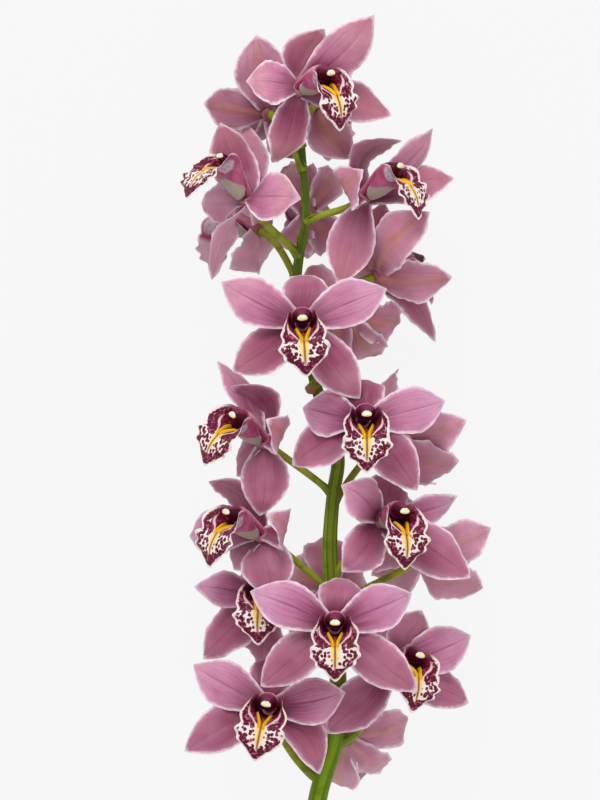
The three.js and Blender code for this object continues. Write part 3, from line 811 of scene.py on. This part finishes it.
LIP_LENGTH = 50               # along its spine
LIP_SPINE = [                 # its height and depth at the bloom, in millimetres
    (-4, 2.75), (-6, 9), (-6.8, 15), (-7, 20.5), (-9, 25.5), (-14, 28.8), (-20.5, 29),
    (-27, 26.5), (-32.5, 22.5),
]
LIP_WIDTHS = [                # where along the lip, and half its width there
    (0, 4.6), (0.06, 8.6), (0.14, 11.2), (0.2, 13.2), (0.26, 15.2), (0.32, 16.2), (0.36, 15.8),
    (0.4, 15.0), (0.45, 13.6), (0.5, 13.1), (0.54, 12.8), (0.575, 12.0), (0.61, 13.4),
    (0.66, 14.3), (0.7, 13.8), (0.74, 12.4), (0.79, 11.2), (0.83, 9.4), (0.862, 6.8),
    (0.9, 5.3), (0.94, 3.7), (0.97, 2.3), (1, 0.4),
]
LIP_ROLLS = [                 # and how far each half is rolled up round the column, in radians
    (0, 1.4), (0.08, 2.0), (0.14, 2.15), (0.26, 2.2), (0.33, 2.14), (0.38, 2.0), (0.42, 1.85),
    (0.45, 1.6), (0.475, 1.15), (0.5, 0.72), (0.53, 0.45), (0.58, 0.26), (0.64, 0.18), (1, 0.1),
]
USUAL_FLARE = 1.6
KEEL_HEIGHT = 2.0
ROLL_BACK = 2.2               # how far the middle lobe's sides are rolled back
# A raised ledge, painted with a pale highlight along its crest, parts the throat from the
# middle lobe. It crosses the middle line this far along the lip, leans towards the foot at the
# sides, and has a step there.
LEDGE = 0.612
LEDGE_LEAN = 0.0147           # for each millimetre off the middle line
LEDGE_STEP = 0.019


def lip_blotches(skin, along, off, rim):
    """Dots that merge over the flanks, in a band near the margin and at the tip."""
    chance = skin.mark("chance")
    warp = skin.noise(260.0, detail=1.0)
    far = skin.times(along, LIP_LENGTH)
    place = skin.point(X=skin.plus(skin.maths("DIVIDE", skin.mark("side"), 2.4), warp),
                       Y=skin.plus(skin.maths("DIVIDE", far, 2.5), chance))
    dots = skin.node("ShaderNodeTexVoronoi", {"Vector": place, "Scale": 1.0, "Randomness": 0.8},
                     voronoi_dimensions="2D")
    bare = skin.plus(skin.span(along, 0.58, 0.84, 2.4, 0.0), warp)      # half the dotless strip
    crowd = skin.maths("MULTIPLY_ADD", skin.maths("FRACT", chance), 0.08, 0.38)
    cover = skin.times(skin.span(skin.minus(off, bare), -0.6, 1.8), crowd)
    cover = skin.plus(cover, skin.span(along, 0.58, 0.63, 0.3, 0.0))
    band = skin.times(skin.span(rim, 3.0, 6.4, 0.4, 0.0), skin.span(along, 0.62, 0.74))
    cover = skin.plus(cover, band)
    cover = skin.plus(cover, skin.span(along, 0.82, 0.89, 0.0, 0.9))
    notch = skin.span(skin.size(skin.minus(along, 0.615)), 0.004, 0.022, 0.5, 0.0)
    notch = skin.times(notch, skin.span(rim, 2.0, 5.0, 1.0, 0.0))
    return skin.span(skin.minus(skin.minus(cover, notch), dots), -0.05, 0.05)


def lip_lobe(skin, along, off, ragged, blotches):
    """The middle lobe: cream, yellow down its middle, with marbled burgundy blotches."""
    glow = skin.span(along, 0.6, 0.84, 5.2, 1.8)      # the yellow fades into white this far out
    pale = skin.maths("MAXIMUM", skin.span(off, 0.2, glow), skin.span(ragged, 2.1, 1.1))
    pale = skin.maths("MAXIMUM", pale, skin.span(along, 0.72, 0.86))
    cream = skin.blend(pale, linear(228, 192, 92), linear(234, 218, 212))
    marbling = skin.span(skin.noise(640.0, detail=2.0), 0.55, 0.65, 0.0, 0.7)
    burgundy = skin.blend(marbling, linear(90, 0, 38), linear(194, 102, 138))
    return skin.blend(blotches, cream, burgundy)


def lip_throat(skin, along, off, ragged, mottle, lobe):
    """The dark mottled throat with its rosy side lobes, and the ledge between it and the lobe,
    with a pale painted highlight along the ledge's crest.
    """
    leaning = skin.plus(along, skin.times(off, LEDGE_LEAN))
    step = skin.times(skin.span(off, 2.5, 6.0, 0.0, LEDGE_STEP), skin.span(off, 6.0, 9.5, 1.0, 0.0))
    leaning = skin.plus(leaning, step)
    mottling = skin.times(skin.span(mottle, 0.48, 0.64), skin.span(along, 0.42, 0.54, 0.3, 1.0))
    throat = skin.blend(mottling, linear(100, 4, 38), linear(166, 96, 112))
    throat = skin.blend(skin.span(off, 6.0, 1.0), throat, linear(84, 26, 26))
    paint = skin.blend(skin.span(leaning, 0.59, 0.604, 1.0, 0.0), lobe, throat)
    # A pale line painted along the ledge's crest, beside the keels, is a painted highlight.
    near = skin.span(skin.size(skin.minus(leaning, LEDGE)), 0.008, 0.017, 0.85, 0.0)
    beside = skin.times(skin.span(off, 2.4, 3.6), skin.span(off, 9.5, 12.0, 1.0, 0.0))
    paint = skin.blend(skin.times(near, beside), paint, linear(226, 196, 200))
    wing = skin.times(skin.span(ragged, 1.6, 4.2, 0.9, 0.0), skin.span(along, 0.4, 0.46, 1.0, 0.0))
    return skin.blend(wing, paint, linear(164, 84, 112))


def lip_outside(skin, along, off, rim, mottle):
    """A grey-brown foot, rose sides, pale speckled fronts to the side lobes, and a pale rim."""
    shade = skin.noise(120.0, detail=2.0)
    paint = skin.blend(skin.span(shade, 0.35, 0.65), linear(152, 62, 98), linear(172, 88, 122))
    foot = skin.plus(along, skin.span(off, 3.0, 11.0, 0.0, 0.26))
    paint = skin.blend(skin.span(foot, 0.3, 0.36), linear(160, 148, 134), paint)
    speckles = skin.span(mottle, 0.5, 0.66, 0.0, 0.6)
    lobe_front = skin.blend(speckles, linear(184, 168, 176), linear(150, 96, 128))
    ahead = skin.maths("POWER", skin.maths("DIVIDE", skin.minus(along, 0.445), 0.07), 2.0)
    aside = skin.maths("POWER", skin.maths("DIVIDE", skin.minus(off, 8.4), 5.6), 2.0)
    oval = skin.span(skin.plus(ahead, aside), 0.55, 1.3, 0.9, 0.0)
    paint = skin.blend(oval, paint, lobe_front)
    paint = skin.blend(skin.span(along, 0.54, 0.62), paint, linear(216, 186, 198))
    return skin.blend(skin.span(rim, 0.5, 1.2, 0.8, 0.0), paint, linear(226, 200, 210))


def lip_finish():
    skin = Finish("lip_spotted")
    along, rim = skin.mark("along"), skin.mark("rim")
    off = skin.size(skin.mark("side"))      # millimetres from the middle line
    ragged = skin.plus(rim, skin.span(skin.noise(700.0), 0.3, 0.7, -0.35, 0.35))
    mottle = skin.noise(560.0, detail=2.0)
    blotches = skin.times(lip_blotches(skin, along, off, rim), skin.span(ragged, 1.1, 1.8))
    paint = lip_lobe(skin, along, off, ragged, blotches)
    paint = lip_throat(skin, along, off, ragged, mottle, paint)
    furrow = skin.times(skin.span(off, 0.35, 0.85, 1.0, 0.0), skin.span(along, 0.92, 0.8, 0.0, 0.9))
    paint = skin.blend(furrow, paint, linear(136, 70, 34))
    paint = skin.blend(skin.span(skin.mark("keel"), 0.12, 0.42), paint, linear(224, 168, 16))
    paint = skin.blend(skin.mark("back"), paint, lip_outside(skin, along, off, rim, mottle))
    skin.bump(skin.plus(blotches, skin.noise(300.0)), 0.0002, 0.4)
    return skin.paint(paint, Roughness=0.5, Specular_IOR_Level=0.2, Subsurface_Weight=0.06,
                      Subsurface_Scale=0.0015, Subsurface_Radius=(1.0, 0.5, 0.4))


def graded(steps, u):
    """The value at u between the steps around it, a little eased towards each."""
    for (a, low), (b, high) in zip(steps, steps[1:]):
        if u <= b:
            return mix(low, high, ease(u, a, b) * 0.4 + (u - a) / (b - a) * 0.6)
    return steps[-1][1]


def lip(shape, seat, broad, flare, curled, chance):
    """The lip's sheet, rolled up round the column and then spread out, frilled and keeled."""
    spine = through([(0, height, depth) for height, depth in LIP_SPINE], samples=120)
    start, many = chance.uniform(0, 6), chance.uniform(8, 10)
    shift = chance.uniform(0, 50)

    def beat(u):
        return many * WAVE * u + start

    def half_width(u, v):
        scallop = 0.035 * math.sin(beat(u) + (1.5 if v > 0 else 0))
        scallop = scallop * ease(u, 0.4, 0.5) * (1 - ease(u, 0.85, 0.9))
        flared = flare * ease(u, 0.34, 0.42) * (1 - ease(u, 0.47, 0.55))
        return graded(LIP_WIDTHS, u) * (1 + scallop) * mix(1, broad, ease(u, 0.3, 0.5)) + flared

    def keels(u, v):
        spread = mix(3.9, 1.3, ease(u, 0.38, 0.57))
        off = abs(v) * half_width(u, v) - spread
        return math.exp(-((off / 0.88) ** 2)) * ease(u, 0.35, 0.41) * (1 - ease(u, 0.57, 0.62))

    def frill(u, v):
        wave = abs(v) ** 4 * math.sin(beat(u) + (2 if v > 0 else 0))
        return wave * ease(u, 0.42, 0.54) * (1 - 0.7 * ease(u, 0.8, 0.95))

    def ledge(u, off):
        leaning = u + LEDGE_LEAN * off + LEDGE_STEP * ease(off, 2.5, 6) * (1 - ease(off, 6, 9.5))
        return 0.8 * math.exp(-(((leaning - LEDGE) / 0.02) ** 2)) * ease(off, 2, 4)

    def surface(u, v):
        place = at(spine, u * curled)
        ahead = (at(spine, u * curled + 0.01) - at(spine, u * curled - 0.01)).normalized()
        half, wrap = half_width(u, v), graded(LIP_ROLLS, u)
        bend = half / wrap
        roll_back = ROLL_BACK * abs(v) ** 3 * ease(u, 0.58, 0.68) * (1 - ease(u, 0.85, 1))
        lift = (bend * (1 - math.cos(wrap * v)) + keels(u, v) * KEEL_HEIGHT + frill(u, v)
                - roll_back + ledge(u, abs(v) * half))
        return pressed(seat.place(bend * math.sin(wrap * v), place.y + ahead.z * lift,
                                  place.z - ahead.y * lift))

    def thick(u, v):
        return 0.15 + 0.7 * (1 - v * v)

    def rim(u, v):
        return min(half_width(u, v) * (1 - abs(v)), (1 - u) * LIP_LENGTH)

    blade(shape, surface, across=52, along=70, thick=thick, mirrored=True, middle=0.55, marks={
        "along": lambda u, v: u, "side": lambda u, v: v * half_width(u, v), "keel": keels,
        "chance": shift, "rim": rim,
    })


lip_spotted = lip_finish()
for name, bloom in BLOOMS.items():
    shape = bmesh.new()
    lip(shape, Seat(bloom), bloom.get("broad", 1), bloom.get("flare", USUAL_FLARE),
        bloom.get("curled", 1), random.Random(f"lip {name}"))
    spotted_lip = into_piece(shape, f"bloom_{name}_spotted_lip", lip_spotted)
    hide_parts(f"bloom_{name}_lip")
